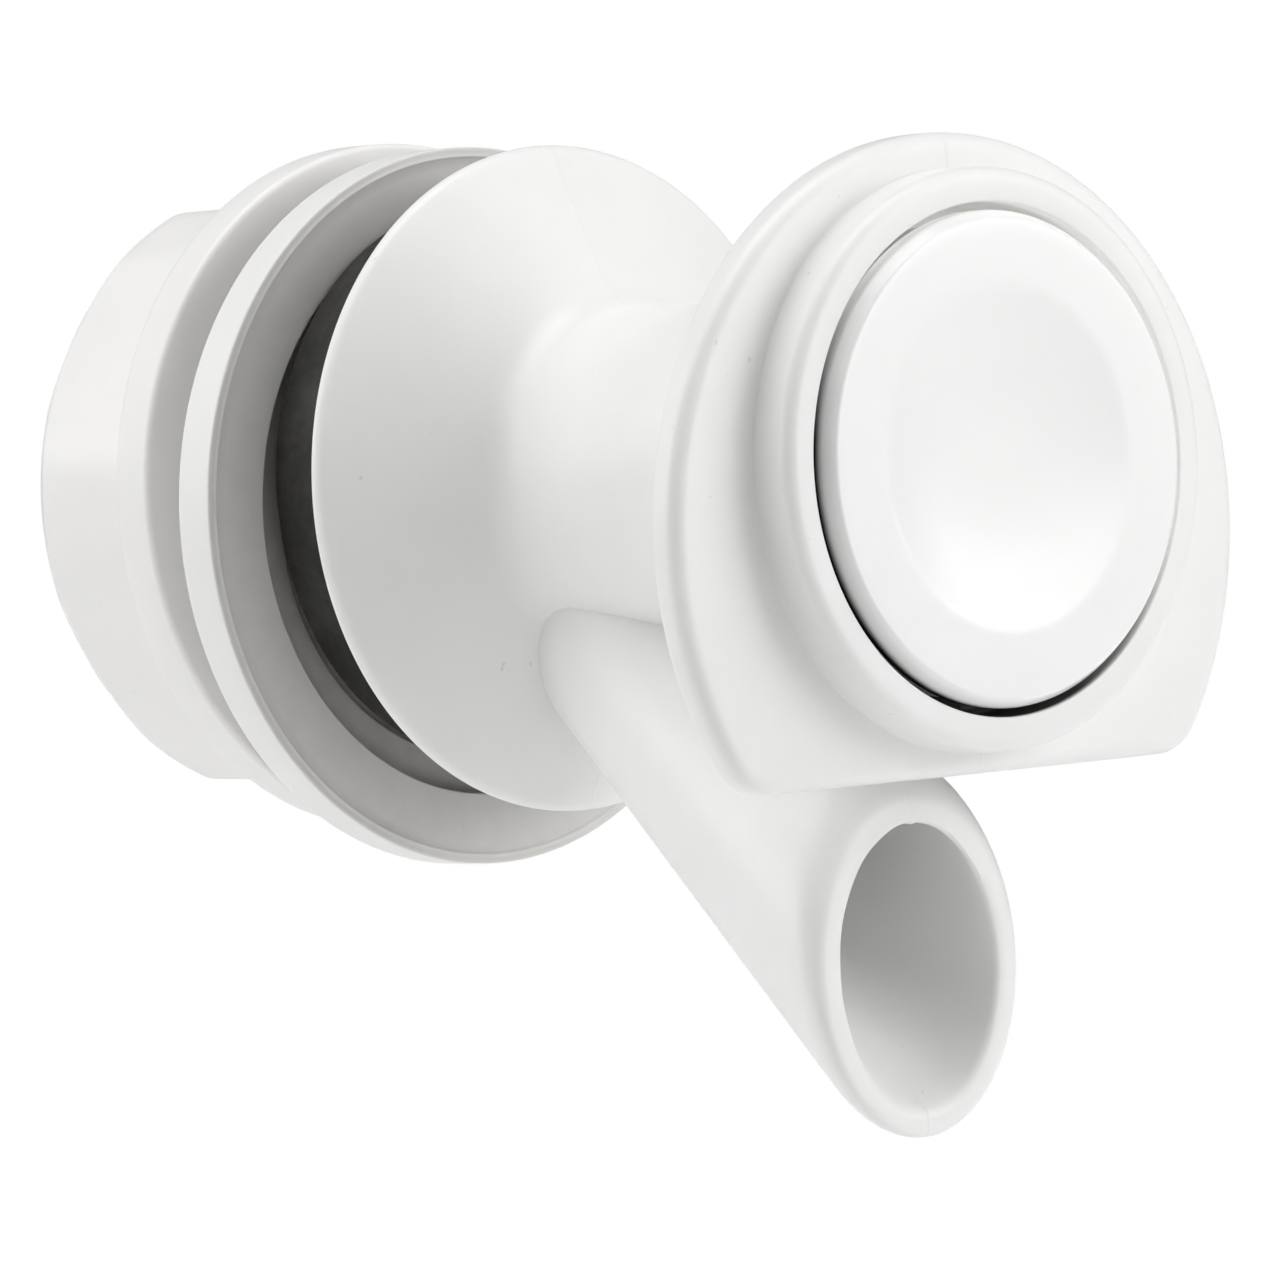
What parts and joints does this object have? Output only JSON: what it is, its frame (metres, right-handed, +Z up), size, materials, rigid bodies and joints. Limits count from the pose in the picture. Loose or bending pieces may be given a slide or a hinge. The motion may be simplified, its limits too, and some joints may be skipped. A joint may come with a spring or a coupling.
{
  "type": "push-button dispensing spigot",
  "caption": "White push-button spigot for a drinks cooler: dished thumb button, D-shaped finger plate, slanted spout, flanged shank, gasket, washer and lock nut.",
  "frame": {"origin": "middle of the whole object's bounding box; the shank axis runs along Y at X 0, Z +9.3 mm, and the bell flange's back face, where the cooler wall begins, is at Y +3.3 mm", "axes": "+Y along the shank axis into the cooler, +Z up, +X to the right for a user facing the button; the button faces -Y and the spout hangs in the plane X = 0"},
  "size_m": [0.0462, 0.0731, 0.0612],
  "materials": {
    "body_white": "satin moulded polypropylene",
    "button_white": "smooth moulded plastic with a soft sheen",
    "stem_acetal": "natural acetal",
    "seal_rubber": "matte moulded rubber",
    "oring_rubber": "matte rubber, lightly greased",
    "retainer_acetal": "natural acetal",
    "spring_steel": "bright drawn stainless wire",
    "gasket_rubber": "matte black moulded rubber",
    "washer_white": "satin moulded plastic",
    "nut_white": "satin moulded plastic"
  },
  "bodies": {
    "tap": {"spigot_body": "body_white", "outer_gasket": "gasket_rubber", "stem_oring": "oring_rubber", "oring_retainer": "retainer_acetal", "return_spring": "spring_steel"},
    "plunger": {"push_button": "button_white", "plunger_stem": "stem_acetal", "valve_seal": "seal_rubber"},
    "washer": {"inner_washer": "washer_white"},
    "nut": {"lock_nut": "nut_white"}
  },
  "joints": [
    {"name": "button_press", "type": "slide", "parent": "tap", "child": "plunger", "axis": [0, 1, 0], "range_m": [0, 0.0032], "stiffness_N_per_m": 1200, "springref_m": -0.004, "deforming": ["return_spring"]},
    {"name": "clamp_travel", "type": "slide", "parent": "tap", "child": "washer", "axis": [0, 1, 0], "range_m": [0, 0.015]},
    {"name": "nut_spin", "type": "hinge", "parent": "washer", "child": "nut", "pos_m": [0, 0.0033, 0.0093], "axis": [0, 1, 0], "range_deg": [0, 1800]}
  ],
  "couplings": [
    {"joint": "nut_spin", "follows": "clamp_travel", "rad_per_m": 2094.4}
  ]
}
